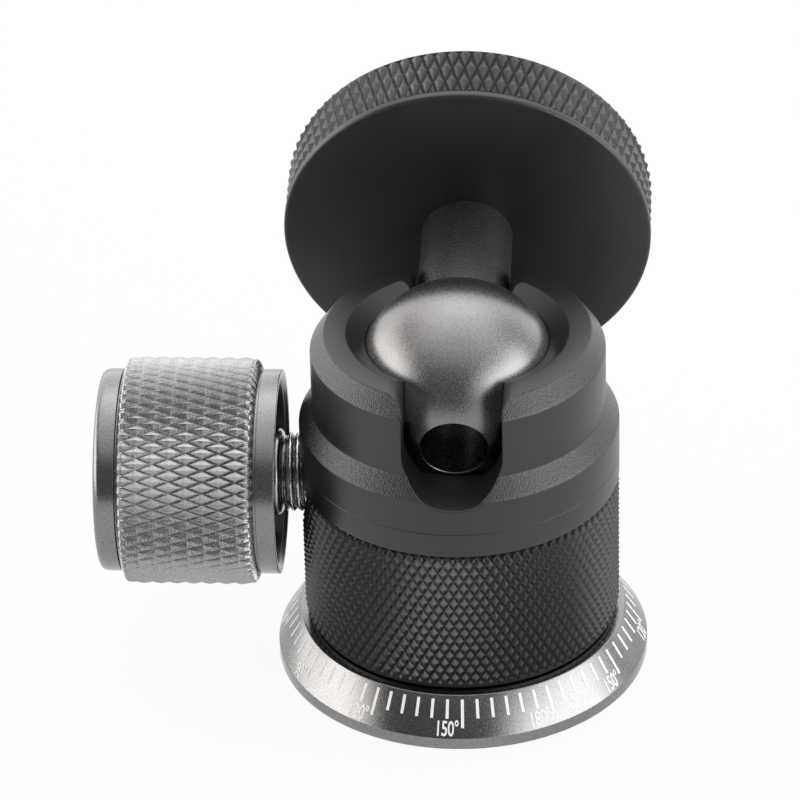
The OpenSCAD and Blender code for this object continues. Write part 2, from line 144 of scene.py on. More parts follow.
@dataclass
class Tree:
    """Builds a shader or geometry node tree."""

    tree: Any

    def node(self, kind: str, settings: dict[str, Any] | None = None, inputs: dict[Any, Any] | None = None,
             out: Any = 0) -> Wire:
        """Adds a node, sets its settings first and then its sockets.

        Args:
            kind: The node's type name.
            settings: The node's settings.
            inputs: Socket name or number to a value or a wire.
            out: Name or number of the output to return.

        Returns:
            The wire of that output, or of no socket where the node has none.
        """
        made = self.tree.nodes.new(kind)
        for name, value in (settings or {}).items():
            setattr(made, name, value)
        for name, value in (inputs or {}).items():
            if isinstance(value, Wire):
                self.tree.links.new(value.socket, made.inputs[name])
            else:
                made.inputs[name].default_value = value
        return Wire(self, made.outputs[out] if len(made.outputs) else None)

    def math(self, operation: str, *values: Any) -> Wire:
        """Adds a Math node for an operation on values."""
        return self.node("ShaderNodeMath", {"operation": operation}, dict(enumerate(values)))

    def mix(self, factor: Any, first: Any, second: Any) -> Wire:
        """Mixes two colours."""
        return self.node("ShaderNodeMix", {"data_type": "RGBA"}, {0: factor, 6: first, 7: second}, out=2)

    def noise(self, scale: float, detail: float, where: Wire) -> Wire:
        """Returns a noise value at a place, scale in waves a metre."""
        return self.node("ShaderNodeTexNoise", {}, {"Vector": where, "Scale": scale, "Detail": detail})

    def place(self) -> Wire:
        """Returns the Object coordinates."""
        return self.node("ShaderNodeTexCoord", out="Object")

    def axes(self, where: Wire) -> tuple[Wire, Wire, Wire]:
        """Splits a vector into its three parts."""
        split = self.node("ShaderNodeSeparateXYZ", {}, {0: where})
        return tuple(Wire(self, s) for s in split.socket.node.outputs)


def blank_tree(owner: Any) -> Tree:
    """Turns on the nodes of a material or world and returns its emptied tree."""
    owner.use_nodes = True
    owner.node_tree.nodes.clear()
    return Tree(owner.node_tree)


def linked(name: str, data: Any) -> bpy.types.Object:
    """Makes an object of some data and links it into the scene."""
    made = bpy.data.objects.new(name, data)
    bpy.context.scene.collection.objects.link(made)
    return made


def baked(piece: bpy.types.Object) -> bpy.types.Mesh:
    """Returns a new mesh of a piece as its modifiers or its text leave it."""
    return bpy.data.meshes.new_from_object(piece.evaluated_get(bpy.context.evaluated_depsgraph_get()))


@dataclass(frozen=True)
class Finish:
    """One surface finish on Principled BSDF, with grain, blotches and dust."""

    name: str
    colour: tuple[float, float, float]
    roughness: float
    metallic: float = 0.0
    specular: float = 0.5
    grain: float = 0.0
    grain_scale: float = 9000.0
    grain_height: float = 0.00001
    sparkle: float = 0.0
    blotch: float = 0.06
    dust: float = 0.0

    @cache
    def material(self) -> bpy.types.Material:
        """Builds the material once and returns it; the CAD's own materials are never taken for it."""
        made = bpy.data.materials.new(self.name)
        self.shade(blank_tree(made))
        return made

    def shade(self, tree: Tree) -> None:
        """Builds the finish's nodes in the material's empty tree."""
        where = tree.place()
        grit = tree.noise(self.grain_scale, 2.0, where)
        cloud = tree.noise(CLOUD_SCALE, 3.0, where)
        base = self.base_colour(tree, where, grit, cloud)
        rough = self.roughness + (cloud - 0.5) * self.blotch + (grit - 0.5) * (self.grain * 0.5)
        bump = tree.node("ShaderNodeBump", {}, {
            "Strength": min(1.0, self.grain * 2), "Distance": self.grain_height, "Height": grit})
        bsdf = tree.node("ShaderNodeBsdfPrincipled", {}, {
            "Base Color": base, "Roughness": rough, "Metallic": self.metallic,
            "Specular IOR Level": self.specular, "Normal": bump})
        tree.node("ShaderNodeOutputMaterial", {}, {"Surface": bsdf})

    def base_colour(self, tree: Tree, where: Wire, grit: Wire, cloud: Wire) -> Wire:
        """Returns the colour: a plain tone with cloudy drift, grain sparkle and a few dust specks."""
        low = tuple(c * (1 - 0.25 * self.sparkle - 0.1) for c in self.colour) + (1.0,)
        high = tuple(min(1.0, c * (1 + 0.35 * self.sparkle + 0.1)) for c in self.colour) + (1.0,)
        tone = tree.mix((grit - 0.5) * 1.6 + 0.5 + (cloud - 0.5) * 0.5, low, high)
        if self.dust <= 0:
            return tone
        speck = tree.node("ShaderNodeTexVoronoi", {}, {"Vector": where, "Scale": DUST_SCALE}, out="Distance")
        picked = tree.noise(DUST_PATCHES, 1.0, where) > DUST_LIMIT
        return tree.mix((speck < DUST_SIZE) * picked * self.dust, tone, DUST_COLOUR)


BLACK = Finish("black_satin", (0.007, 0.007, 0.0073), 0.36, specular=0.62, grain=0.35,
               grain_height=0.000012, dust=0.8)
BLACK_BLAST = Finish("black_blasted", (0.017, 0.017, 0.018), 0.3, specular=0.62, grain=1.0,
                     grain_scale=5600.0, grain_height=0.00007, sparkle=1.0, dust=0.9)
BLACK_KNURL = Finish("black_knurl", (0.015, 0.015, 0.016), 0.32, specular=0.55, grain=0.25, dust=0.8)
GREY = Finish("gunmetal", (0.225, 0.223, 0.227), 0.2, metallic=1.0, grain=0.7, grain_scale=7500.0,
              grain_height=0.000008, sparkle=0.9)
GREY_BALL = Finish("gunmetal_ball", (0.22, 0.218, 0.222), 0.3, metallic=1.0, grain=0.8, grain_scale=7500.0,
                   grain_height=0.000008, sparkle=1.0)
GREY_KNOB = Finish("gunmetal_knob", (0.22, 0.218, 0.222), 0.22, metallic=1.0, grain=0.6, grain_scale=7500.0,
                   grain_height=0.000008, sparkle=0.8)
GREY_KNURL = Finish("gunmetal_knurl", (0.34, 0.34, 0.343), 0.3, metallic=1.0, grain=0.9, grain_scale=6500.0,
                    grain_height=0.000016, sparkle=1.0)
DARK_STEEL = Finish("blackened_steel", (0.42, 0.42, 0.425), 0.2, metallic=1.0, grain=0.05, dust=0.5)
BRIGHT_STEEL = Finish("turned_steel", (0.5, 0.5, 0.51), 0.28, metallic=1.0, grain=0.1)
BRASS = Finish("turned_brass", (0.62, 0.45, 0.18), 0.3, metallic=1.0, grain=0.1)
POLYMER = Finish("moulded_polymer", (0.035, 0.035, 0.038), 0.42, grain=0.1)
RUBBER = Finish("moulded_rubber", (0.02, 0.02, 0.02), 0.75, grain=0.6, grain_height=0.00003)
PAINT = Finish("white_paint", (0.78, 0.78, 0.76), 0.55, grain=0.1)


def new_object(name: str, work: bmesh.types.BMesh, axis: Axis, finish: Finish, smooth: bool = True
               ) -> bpy.types.Object:
    """Turns a bmesh in millimetres into an object in the row frame.

    Args:
        name: The piece's name.
        work: The mesh, drawn along +Z in millimetres; freed here.
        axis: The axis that it is turned on.
        finish: Its finish.
        smooth: Whether its faces are shaded smooth.

    Returns:
        The object, at the origin.
    """
    work.transform(Matrix.Scale(MM, 4) @ axis.matrix())
    mesh = bpy.data.meshes.new(name)
    work.to_mesh(mesh)
    work.free()
    mesh.materials.append(finish.material())
    if smooth:
        mesh.shade_smooth()
        mesh.set_sharp_from_angle(angle=SHARP)
    return linked(name, mesh)


def rounded(points: Sequence[tuple[float, ...]], radius: float = 0.1, steps: int = 3
            ) -> list[tuple[float, float]]:
    """Rounds the corners of a profile.

    Args:
        points: (r, z) or (r, z, corner radius) in order.
        radius: The corner radius where a point gives none.
        steps: Segments in each corner.

    Returns:
        The profile's points with each corner replaced by a short arc.
    """
    out: list[tuple[float, float]] = []
    count = len(points)
    for i, point in enumerate(points):
        here = Vector(point[:2])
        corner = point[2] if len(point) > 2 else radius
        before, after = Vector(points[i - 1][:2]), Vector(points[(i + 1) % count][:2])
        if corner <= 0 or here.x < 1e-6:
            out.append(tuple(here))
            continue
        reach = min(corner, (before - here).length * 0.45, (after - here).length * 0.45)
        first = here + (before - here).normalized() * reach
        last = here + (after - here).normalized() * reach
        for k in range(steps + 1):
            t = k / steps
            out.append(tuple(first.lerp(here, t).lerp(here.lerp(last, t), t)))
    return out


def lathe(profile: Sequence[tuple[float, float]], segments: int = 256) -> bmesh.types.BMesh:
    """Spins a closed (r, z) profile into a solid.

    Args:
        profile: Points in order; those at r = 0 meet in a pole.
        segments: Facets round the axis.

    Returns:
        The closed mesh with its faces outwards.
    """
    work = bmesh.new()
    rings: list[list[bmesh.types.BMVert]] = []
    for r, z in profile:
        if r < 1e-6:
            rings.append([work.verts.new((0, 0, z))])
        else:
            rings.append([work.verts.new((r * math.cos(a), r * math.sin(a), z)) for a in
                          (2 * math.pi * k / segments for k in range(segments))])
    for low, high in zip(rings, rings[1:] + rings[:1]):
        if len(low) == 1 and len(high) == 1:
            continue
        for k in range(segments):
            n = (k + 1) % segments
            corners = [low[k % len(low)], low[n % len(low)], high[n % len(high)], high[k % len(high)]]
            work.faces.new(list(dict.fromkeys(corners)))
    bmesh.ops.recalc_face_normals(work, faces=work.faces)
    return work


def strip(around: int, along: int) -> bmesh.types.BMesh:
    """Makes a flat strip whose x and y run from 0 to 1, each quad split both ways.

    Args:
        around: Quads along x.
        along: Quads along y.

    Returns:
        The strip.
    """
    work = bmesh.new()
    grid = [[work.verts.new((i / around, j / along, 0)) for i in range(around + 1)] for j in range(along + 1)]
    for j in range(along):
        for i in range(around):
            work.faces.new((grid[j][i], grid[j][i + 1], grid[j + 1][i + 1], grid[j + 1][i]))
    bmesh.ops.poke(work, faces=work.faces)
    return work


def open_group(title: str, takes_mesh: bool, *floats: str) -> tuple[Tree, dict[str, Wire]]:
    """Starts a Geometry Nodes group with named inputs, of which the last is its finish.

    Args:
        title: The group's name.
        takes_mesh: Whether its first input is a mesh.
        floats: Names of its number inputs.

    Returns:
        The tree, and each input's wire by its name.
    """
    group = bpy.data.node_groups.new(title, "GeometryNodeTree")
    face = group.interface
    if takes_mesh:
        face.new_socket("Mesh", in_out="INPUT", socket_type="NodeSocketGeometry")
    for name in floats:
        face.new_socket(name, in_out="INPUT", socket_type="NodeSocketFloat")
    face.new_socket("Finish", in_out="INPUT", socket_type="NodeSocketMaterial")
    face.new_socket("Made", in_out="OUTPUT", socket_type="NodeSocketGeometry")
    tree = Tree(group)
    source = group.nodes.new("NodeGroupInput")
    return tree, {s.name: Wire(tree, s) for s in source.outputs if s.name}


def close_group(tree: Tree, shape: Wire, finish: Wire) -> bpy.types.GeometryNodeTree:
    """Ends a group with Realize Instances and Set Material, and returns it."""
    real = tree.node("GeometryNodeRealizeInstances", {}, {"Geometry": shape})
    done = tree.node("GeometryNodeSetMaterial", {}, {"Geometry": real, "Material": finish})
    sink = tree.tree.nodes.new("NodeGroupOutput")
    tree.tree.links.new(done.socket, sink.inputs[0])
    return tree.tree


def run_group(group: bpy.types.GeometryNodeTree, mesh: bpy.types.Mesh, values: dict[str, Any]
              ) -> bmesh.types.BMesh:
    """Runs a group on a mesh.

    Args:
        group: The node group.
        mesh: The mesh that it is given.
        values: Input name to value.

    Returns:
        What the group makes.
    """
    carrier = linked(mesh.name, mesh)
    modifier = carrier.modifiers.new(group.name, "NODES")
    modifier.node_group = group
    for item in group.interface.items_tree:
        if item.in_out == "INPUT" and item.name in values:
            modifier[item.identifier] = values[item.name]
    work = bmesh.new()
    work.from_mesh(baked(carrier))
    bpy.data.objects.remove(carrier)
    return work


@dataclass(frozen=True)
class ReliefZone:
    """A turned zone whose relief a Geometry Nodes tree wraps round its axis."""

    name: str
    axis: Axis
    relief: Relief
    radius: float
    start: float
    end: float
    depth: float
    pitch: float
    teeth: int
    root: float
    rounding: float = 0.0
    per_tooth: int = 4
    per_pitch: int = 4
    crest: float = 0.85
    swell: float = 1.0

    def tree(self) -> bpy.types.GeometryNodeTree:
        """Builds and returns the group that wraps a strip into the zone, with named inputs."""
        t, given = open_group(self.relief.value + " wrap", True, "Radius", "Start", "End", "Depth", "Pitch",
                              "Teeth", "Root radius", "End rounding", "Crest", "Swell", "Rows")
        u, v, _ = t.axes(t.node("GeometryNodeInputPosition"))
        row = v * given["Rows"]
        span = given["End"] - given["Start"]
        inner = ((row - 1.0) / (given["Rows"] - 2.0)).apply("MAXIMUM", 0.0).apply("MINIMUM", 1.0)
        along = inner * span
        turns = u * given["Teeth"]
        laps = along / given["Pitch"]
        if self.relief is Relief.DIAMOND:
            left = (turns + laps).apply("PINGPONG", 0.5) * 2.0
            right = (turns - laps).apply("PINGPONG", 0.5) * 2.0
            height = left.apply("MINIMUM", right)
        else:
            height = (laps - turns).apply("PINGPONG", 0.5) * 2.0
        height = (height / given["Crest"]).apply("MINIMUM", 1.0).apply("POWER", given["Swell"])
        near = along.apply("MINIMUM", span - along)
        dip = (1.0 - near / given["End rounding"]).apply("MAXIMUM", 0.0)
        drop = given["End rounding"] * (1.0 - (1.0 - dip * dip).apply("SQRT"))
        turned = given["Radius"] - drop - given["Depth"] * (1.0 - height)
        edge = (row < 0.6) + (row > given["Rows"] - 0.6)
        radius = turned * (1.0 - edge) + given["Root radius"] * edge
        angle = u * (2 * math.pi)
        place = t.node("ShaderNodeCombineXYZ", {}, {
            0: radius * angle.apply("COSINE"), 1: radius * angle.apply("SINE"), 2: along + given["Start"]})
        wrapped = t.node("GeometryNodeSetPosition", {}, {"Geometry": given["Mesh"], "Position": place})
        closed = t.node("GeometryNodeMergeByDistance", {}, {"Geometry": wrapped, "Distance": 0.0005})
        return close_group(t, closed, given["Finish"])

    def mesh(self, finish: Finish) -> bmesh.types.BMesh:
        """Runs the tree on a strip and closes the ring on its inside.

        Args:
            finish: The finish that Set Material gives it.

        Returns:
            The closed ring, in millimetres along +Z.
        """
        rows = max(4, round((self.end - self.start) / self.pitch * self.per_pitch)) + 2
        flat = strip((self.teeth if self.relief is Relief.DIAMOND else 16) * self.per_tooth, rows)
        mesh = bpy.data.meshes.new(self.name)
        flat.to_mesh(mesh)
        flat.free()
        values = {"Radius": self.radius, "Start": self.start, "End": self.end, "Depth": self.depth,
                  "Pitch": self.pitch, "Teeth": float(self.teeth), "Root radius": self.root,
                  "End rounding": max(self.rounding, 0.001), "Crest": self.crest, "Swell": self.swell,
                  "Rows": float(rows), "Finish": finish.material()}
        work = run_group(self.tree(), mesh, values)
        bmesh.ops.bridge_loops(work, edges=[e for e in work.edges if e.is_boundary])
        bmesh.ops.recalc_face_normals(work, faces=work.faces)
        return work

    def piece(self, finish: Finish, smooth: bool = False) -> bpy.types.Object:
        """Returns the zone as an object on its axis, with a finish."""
        return new_object(self.name, self.mesh(finish), self.axis, finish, smooth)


def finished(piece: bpy.types.Object, body: str, slot: str, *nodes: str) -> bpy.types.Object:
    """Puts a piece on its body, hides the CAD nodes that it stands for, and reports it.

    Args:
        piece: The object.
        body: The CAD body that it moves with.
        slot: The record's material slot; not used.
        nodes: The CAD nodes that it stands for.

    Returns:
        The same object.
    """
    if nodes:
        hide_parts(*nodes)
    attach(piece, body)
    log.info("%s: %d faces on %s", piece.name, len(piece.data.polygons), body)
    return piece


@dataclass
class Base:
    """The grey base ring with its degree scale."""

    bottom_r: float = 19.0
    rim_h: float = 1.3
    top_r: float = 16.6
    top_z: float = 5.0
    hub_r: float = 8.05
    hub_z: float = 9.4
    insert_r: float = 6.3
    insert_z: float = 7.0
    groove_in: float = 8.94
    groove_out: float = 12.66
    groove_z: float = 4.5
    tick_count: int = 72
    tick_w: float = 0.3
    tick_short: float = 1.95
    tick_long: float = 2.87
    tick_in: float = 0.45
    number_count: int = 12
    digit_h: float = 1.58
    digit_squeeze: float = 0.62
    digit_gap: float = 0.8
    digit_aside: float = 0.33
    digit_out: float = 1.6
    scale_turn: float = 32.5
    lift: float = 0.012

    def build(self) -> None:
        """Builds and dresses every piece of the base."""
        self.ring()
        self.ticks()
        self.digits()

    def ring(self) -> None:
        """Makes the ring with its groove for the glide washer and its hub."""
        outline = rounded([
            (self.insert_r, 0, 0.15), (self.bottom_r, 0, 0.12), (self.bottom_r, self.rim_h, 0.08),
            (self.top_r, self.top_z, 0.08), (self.groove_out, self.top_z, 0.05),
            (self.groove_out, self.groove_z, 0), (self.groove_in, self.groove_z, 0),
            (self.groove_in, self.top_z, 0.05), (self.hub_r, self.top_z, 0), (self.hub_r, self.hub_z, 0.1),
            (0, self.hub_z, 0), (0, self.insert_z, 0), (self.insert_r, self.insert_z, 0)])
        finished(new_object("base_body", lathe(outline, 320), Axis.BODY, GREY), "base", "grey_anodised",
                 "base_ring")

    def on_bevel(self, angle: float, down: float) -> tuple[Vector, Vector]:
        """Finds a place on the bevel.

        Args:
            angle: Degrees round +Z from +X.
            down: Distance from the bevel's upper edge along the slope.

        Returns:
            The point, and the unit vector outwards.
        """
        a = math.radians(angle)
        fall = Vector((self.bottom_r - self.top_r, self.rim_h - self.top_z)).normalized()
        out = Vector((math.cos(a), math.sin(a), 0))
        slope = out * fall.x + Vector((0, 0, fall.y))
        around = Vector((-math.sin(a), math.cos(a), 0))
        normal = around.cross(slope).normalized() * -1
        point = out * self.top_r + Vector((0, 0, self.top_z)) + slope * down
        return point, normal

    def ticks(self) -> None:
        """Makes the scale's ticks with one Geometry Nodes tree, which places a tick on each point."""
        t, given = open_group("degree ticks", False, "Count", "Turn", "Upper radius", "Upper height", "Slope",
                              "Gap", "Short", "Long", "Width", "Lift")
        index = t.node("GeometryNodeInputIndex")
        line = t.node("GeometryNodeMeshLine", {}, {"Count": given["Count"]})
        long_one = (index / (self.tick_count / self.number_count)).apply("FRACT") < 0.01
        length = given["Short"] + (given["Long"] - given["Short"]) * long_one
        angle = index * (2 * math.pi) / given["Count"] + given["Turn"]
        down = given["Gap"] + length * 0.5
        cos_s, sin_s = given["Slope"].apply("COSINE"), given["Slope"].apply("SINE")
        reach = given["Upper radius"] + down * cos_s + given["Lift"] * sin_s
        height = given["Upper height"] - down * sin_s + given["Lift"] * cos_s
        place = t.node("ShaderNodeCombineXYZ", {}, {
            0: reach * angle.apply("COSINE"), 1: reach * angle.apply("SINE"), 2: height})
        points = t.node("GeometryNodeSetPosition", {}, {"Geometry": line, "Position": place})
        turn = t.node("ShaderNodeCombineXYZ", {}, {1: given["Slope"], 2: angle})
        size = t.node("ShaderNodeCombineXYZ", {}, {0: length, 1: given["Width"], 2: 0.02})
        block = t.node("GeometryNodeMeshCube", {}, {"Size": (1, 1, 1), "Vertices X": 2})
        placed = t.node("GeometryNodeInstanceOnPoints", {}, {
            "Points": points, "Instance": block, "Rotation": turn, "Scale": size})
        slope = math.atan2(self.top_z - self.rim_h, self.bottom_r - self.top_r)
        values = {"Count": float(self.tick_count), "Turn": math.radians(self.scale_turn - 90),
                  "Upper radius": self.top_r, "Upper height": self.top_z, "Slope": slope,
                  "Gap": self.tick_in, "Short": self.tick_short, "Long": self.tick_long,
                  "Width": self.tick_w, "Lift": self.lift, "Finish": PAINT.material()}
        work = run_group(close_group(t, placed, given["Finish"]), bpy.data.meshes.new("ticks"), values)
        finished(new_object("scale_ticks", work, Axis.BODY, PAINT, smooth=False), "base", "grey_anodised")

    def digits(self) -> None:
        """Writes the scale's numbers and lays them on the bevel."""
        work, turn = bmesh.new(), 360 // self.number_count
        for step in range(self.number_count):
            curve = bpy.data.curves.new("digits", "FONT")
            curve.body, curve.size = f"{abs(180 - step * turn)}°", self.digit_h / 0.73
            curve.align_x, curve.space_character = "RIGHT", 0.95
            curve.extrude, curve.resolution_u, curve.offset = 0.01, 3, 0.03
            holder = linked("digits", curve)
            mesh = baked(holder)
            bpy.data.objects.remove(holder)
            tick = self.scale_turn - 90 + step * turn
            first = len(work.verts)
            work.from_mesh(mesh)
            work.verts.ensure_lookup_table()
            for vert in list(work.verts)[first:]:
                x, y, z = vert.co
                down = self.tick_in + self.tick_long + self.digit_gap - y
                along = x * self.digit_squeeze - self.digit_aside
                angle = tick + math.degrees(along / (self.top_r + self.digit_out))
                point, normal = self.on_bevel(angle, down)
                vert.co = point + normal * (self.lift + z)
        finished(new_object("scale_digits", work, Axis.BODY, PAINT, smooth=False), "base", "grey_anodised")


@dataclass
class Housing:
    """The black housing: smooth bands, drop notches, the knurled grip and the index mark."""

    grip_r: float = 16.15
    grip_low: float = 5.6
    grip_high: float = 20.9
    foot_r: float = 13.0
    foot_z: float = 5.17
    under_r: float = 15.7
    groove_r: float = 15.55
    seam_z: float = 24.0
    wide_z: float = 27.67
    neck_z: float = 29.54
    high_z: float = 35.96
    narrow_r: float = 14.8
    top_r: float = 13.43
    mouth_r: float = 11.15
    seat_r: float = 10.4
    bore_r: float = 11.1
    screw_hole_r: float = 4.06
    spot_r: float = 4.9
    spot_x: float = 15.75
    notch_w: float = 9.9
    notch_z: float = 31.7
    corner_r: float = 1.5
    top_z: float = 37.85
    ease: float = 0.16

    def build(self) -> None:
        """Builds and dresses the housing's pieces."""
        shell = self.shell()
        self.cut(shell)
        self.blast(shell)
        finished(shell, "body", "black_anodised", "housing")
        self.grip()
        self.index()

    def outer(self) -> list[tuple[float, float]]:
        """Returns the outer profile from the bottom edge to the top face."""
        wide, ease = self.grip_r, self.ease
        return rounded([
            (self.foot_r, self.foot_z, 0), (self.under_r - 0.1, self.foot_z, 0.08),
            (self.under_r, self.grip_low, 0), (self.under_r, 20.75, 0), (self.groove_r, self.grip_high, 0),
            (self.groove_r, 21.12, 0), (15.85, 21.15, 0.05), (wide, 21.45, 0.12),
            (wide, self.seam_z - 0.05, 0), (wide - 0.04, self.seam_z, 0), (wide, self.seam_z + 0.05, 0),
            (wide, self.wide_z, ease), (self.narrow_r, self.neck_z, ease), (self.narrow_r, self.high_z, ease),
            (self.top_r, self.top_z, ease), (self.mouth_r, self.top_z, 0)], steps=4)[1:-1]

    def inner(self) -> list[tuple[float, float]]:
        """Returns the inner profile from the top face down to the bottom edge."""
        seat = [(math.sqrt(self.seat_r ** 2 - (z - BALL_Z) ** 2), z, 0) for z in
                (36.3, 35.9, 35.4, 34.9, 34.4, 33.9, 33.4, 33.0, 32.62)]
        above = [(self.top_r, self.top_z, 0), (self.mouth_r, self.top_z, 0.12), (9.25, 36.65, 0.08)]
        below = [(self.bore_r, 32.58, 0), (self.bore_r, 8.6, 0), (self.foot_r, 8.58, 0),
                 (self.foot_r, self.foot_z, 0)]
        return rounded(above + seat + below, steps=4)[1:]

    def outline(self, way: float, push: float) -> tuple[float, float]:
        """Walks a drop notch's outline from the middle of its floor to the top face.

        Args:
            way: 0 to 1 round the floor, to 2 up the side, and to 3 over the eased corner.
            push: Distance into the metal, which fades to nothing over the corner.

        Returns:
            The half width there and the height.
        """
        push *= min(1.0, 3.0 - way)
        half, shoulder = self.notch_w / 2, self.top_z - self.corner_r
        if way < 1:
            a = way * math.pi / 2
            return (half + push) * math.sin(a), self.notch_z - (half + push) * math.cos(a)
        if way < 2:
            return half + push, self.notch_z + (way - 1) * (shoulder - self.notch_z)
        b = (way - 2) * math.pi / 2
        arc = self.corner_r - push
        return half + self.corner_r - arc * math.cos(b), shoulder + arc * math.sin(b)

    def ways(self, heights: Sequence[float]) -> list[float]:
        """Returns the outline's stations, with one at each height where a profile turns.

        Args:
            heights: Heights of the profiles' points.

        Returns:
            Stations from 0 to 3 in order.
        """
        fixed = [0.0, 3.0]
        for z in sorted(set(heights)):
            low, high = 0.0, 3.0
            if self.outline(0, self.ease)[1] + 0.01 < z < self.top_z - 0.001:
                for _ in range(50):
                    middle = (low + high) / 2
                    low, high = (middle, high) if self.outline(middle, self.ease)[1] < z else (low, middle)
                fixed.append(low)
        loose = [k / 24 for k in range(24)] + [1 + k / 8 for k in range(8)] + [2 + k / 12 for k in range(13)]
        return sorted(fixed + [w for w in loose if all(abs(w - f) > 0.012 for f in fixed)])

    def shell(self) -> bpy.types.Object:
        """Builds the housing as one closed skin: side walls, top, seat, bore and eased notch walls."""
        work = bmesh.new()
        outer, inner = self.outer(), self.inner()

        def radius(profile: Sequence[tuple[float, float]], z: float) -> float:
            """Reads a profile's radius at a height inside the notch's reach."""
            points = sorted((b, a) for a, b in profile if b > 20)
            for (z0, r0), (z1, r1) in zip(points, points[1:]):
                if z0 <= z <= z1 and z1 > z0:
                    return r0 + (r1 - r0) * (z - z0) / (z1 - z0)
            return points[-1][1] if z > points[0][0] else points[0][1]

        def sheet(rows: Sequence[Sequence[Vector]]) -> None:
            """Adds a grid of faces."""
            made = [[work.verts.new(p) for p in row] for row in rows]
            for low, high in zip(made, made[1:]):
                for k in range(len(low) - 1):
                    work.faces.new((low[k], low[k + 1], high[k + 1], high[k]))

        def arc(r: float, z: float, half: float, columns: int = 150) -> list[Vector]:
            """Returns the right half of a ring between the two notches' edges."""
            start = math.asin(min(1.0, half / r))
            step = (math.pi - 2 * start) / columns
            return [Vector((r * math.sin(start + step * k), -r * math.cos(start + step * k), z))
                    for k in range(columns + 1)]

        def wall(way: float) -> list[Vector]:
            """Returns a line of the notch's wall from the outer skin to the inner one, with eased edges."""
            half, z = self.outline(way, 0)
            wide, low = self.outline(way, self.ease)
            ease, line = self.ease * min(1.0, 3.0 - way), []
            for profile, sign in ((outer, 1.0), (inner, -1.0)):
                edge = -math.sqrt(radius(profile, z) ** 2 - half ** 2)
                skin = Vector((wide, -math.sqrt(radius(profile, low) ** 2 - wide ** 2), low))
                corner, deep = Vector((half, edge, z)), Vector((half, edge + sign * ease, z))
                bend = [skin.lerp(corner, t).lerp(corner.lerp(deep, t), t) for t in (k / 4 for k in range(5))]
                line += bend if sign > 0 else bend[::-1]
            return line

        ways = self.ways([z for _, z in outer + inner])
        foot = self.outline(0, self.ease)[1]
        cut = [self.outline(w, self.ease) for w in ways]
        for side in (1, -1):
            half_rows = [
                [arc(r, z, 0) for r, z in outer if z < foot - 0.01]
                + [arc(radius(outer, z), z, half) for half, z in cut],
                [arc(r, self.top_z, self.notch_w / 2 + self.corner_r)
                 for r in (radius(outer, self.top_z), radius(inner, self.top_z))],
                [arc(radius(inner, z), z, half) for half, z in cut[::-1]]
                + [arc(r, z, 0) for r, z in inner + [outer[0]] if z < foot - 0.01]]
            walls = [wall(w) for w in ways]
            for rows in half_rows + [walls, [[Vector((p.x, -p.y, p.z)) for p in row] for row in walls]]:
                sheet([[Vector((side * p.x, p.y, p.z)) for p in row] for row in rows])
        bmesh.ops.remove_doubles(work, verts=work.verts, dist=0.0008)
        bmesh.ops.dissolve_degenerate(work, dist=0.0004, edges=work.edges)
        bmesh.ops.recalc_face_normals(work, faces=work.faces)
        log.info("housing shell: %d open edges", sum(1 for e in work.edges if len(e.link_faces) != 2))
        return new_object("housing_shell", work, Axis.BODY, BLACK)

    def round_tool(self, name: str, r: float, near: float, far: float) -> bpy.types.Object:
        """Makes a round tool along the clamp axis between two distances from the body axis."""
        work = lathe([(0, near), (r, near), (r, far), (0, far)], 96)
        work.transform(Axis.CLAMP.matrix())
        return new_object(name, work, Axis.BODY, BLACK, smooth=False)

    def cut(self, shell: bpy.types.Object) -> None:
        """Cuts the clamp screw's hole and its spot face out of the shell, whose mesh is replaced."""
        inside, outside = 9.0, 19.0
        tools = [self.round_tool("screw_tool", self.screw_hole_r, inside, outside),
                 self.round_tool("spot_tool", self.spot_r, self.spot_x, outside)]
        for tool in tools:
            modifier = shell.modifiers.new(tool.name, "BOOLEAN")
            modifier.operation, modifier.object, modifier.solver = "DIFFERENCE", tool, "EXACT"
        shell.data = baked(shell)
        shell.modifiers.clear()
        for tool in tools:
            bpy.data.objects.remove(tool)
        shell.data.set_sharp_from_angle(angle=SHARP)

    def blast(self, shell: bpy.types.Object) -> None:
        """Gives the shell's two outer chamfers their grainier finish."""
        shell.data.materials.append(BLACK_BLAST.material())
        chamfers = ((self.wide_z, self.neck_z), (self.high_z, self.top_z))
        for face in shell.data.polygons:
            x, y, z = (c / MM for c in face.center)
            leans_out = face.normal.x * x + face.normal.y * y > 0 and 0.3 < face.normal.z < 0.95
            if leans_out and any(low < z < high for low, high in chamfers):
                face.material_index = 1

    def grip(self) -> None:
        """Makes the knurled grip, flat where the spot face cuts it."""
        zone = ReliefZone("housing_grip", Axis.BODY, Relief.DIAMOND, radius=self.grip_r,
                          start=self.grip_low, end=self.grip_high, depth=0.43, pitch=1.79, teeth=96,
                          root=15.3, rounding=0.3, crest=0.9, swell=0.85)
        work = zone.mesh(BLACK_KNURL)
        for vert in work.verts:
            x, y, z = vert.co
            if x < -self.spot_x and y * y + (z - CLAMP_Z) ** 2 < self.spot_r ** 2:
                vert.co.x = -self.spot_x
        finished(new_object(zone.name, work, zone.axis, BLACK_KNURL, smooth=False), "body", "black_anodised")

    def index(self) -> None:
        """Makes the white index mark at the foot of the grip, on the right."""
        work = bmesh.new()
        bmesh.ops.create_cube(work, size=1.0)
        work.transform(Matrix.Rotation(math.radians(2), 4, "Z") @ Matrix.Translation((16.12, 0, 6.7))
                       @ Matrix.Diagonal((0.1, 0.3, 1.6, 1)))
        finished(new_object("index_mark", work, Axis.BODY, PAINT, smooth=False), "body", "black_anodised")


